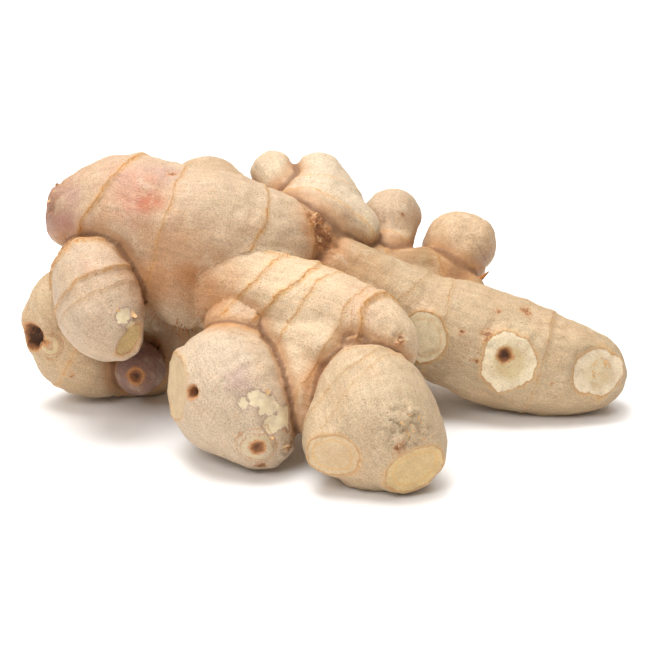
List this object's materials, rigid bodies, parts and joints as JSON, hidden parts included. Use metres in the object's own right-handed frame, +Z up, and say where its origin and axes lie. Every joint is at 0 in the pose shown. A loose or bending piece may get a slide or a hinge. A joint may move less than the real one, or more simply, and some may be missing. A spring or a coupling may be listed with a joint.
{
  "type": "ginger root",
  "caption": "Hand of fresh ginger root lying on its knuckles: a mother root with stubby ringed fingers and knobs, some cut or snapped flat.",
  "frame": {"origin": "centre of the footprint of the bounding box, on the surface the root lies on", "axes": "+X along the root's longest extent, from the thick old end to the long right finger; +Z up; -Y towards the two stubby front fingers"},
  "size_m": [0.1756, 0.1119, 0.0739],
  "materials": {
    "ginger_skin": "dry papery skin, pale tan with pink and orange tints, fine fibres and darker scale rings"
  },
  "bodies": {
    "root": {"ginger_root": "ginger_skin"}
  },
  "joints": []
}
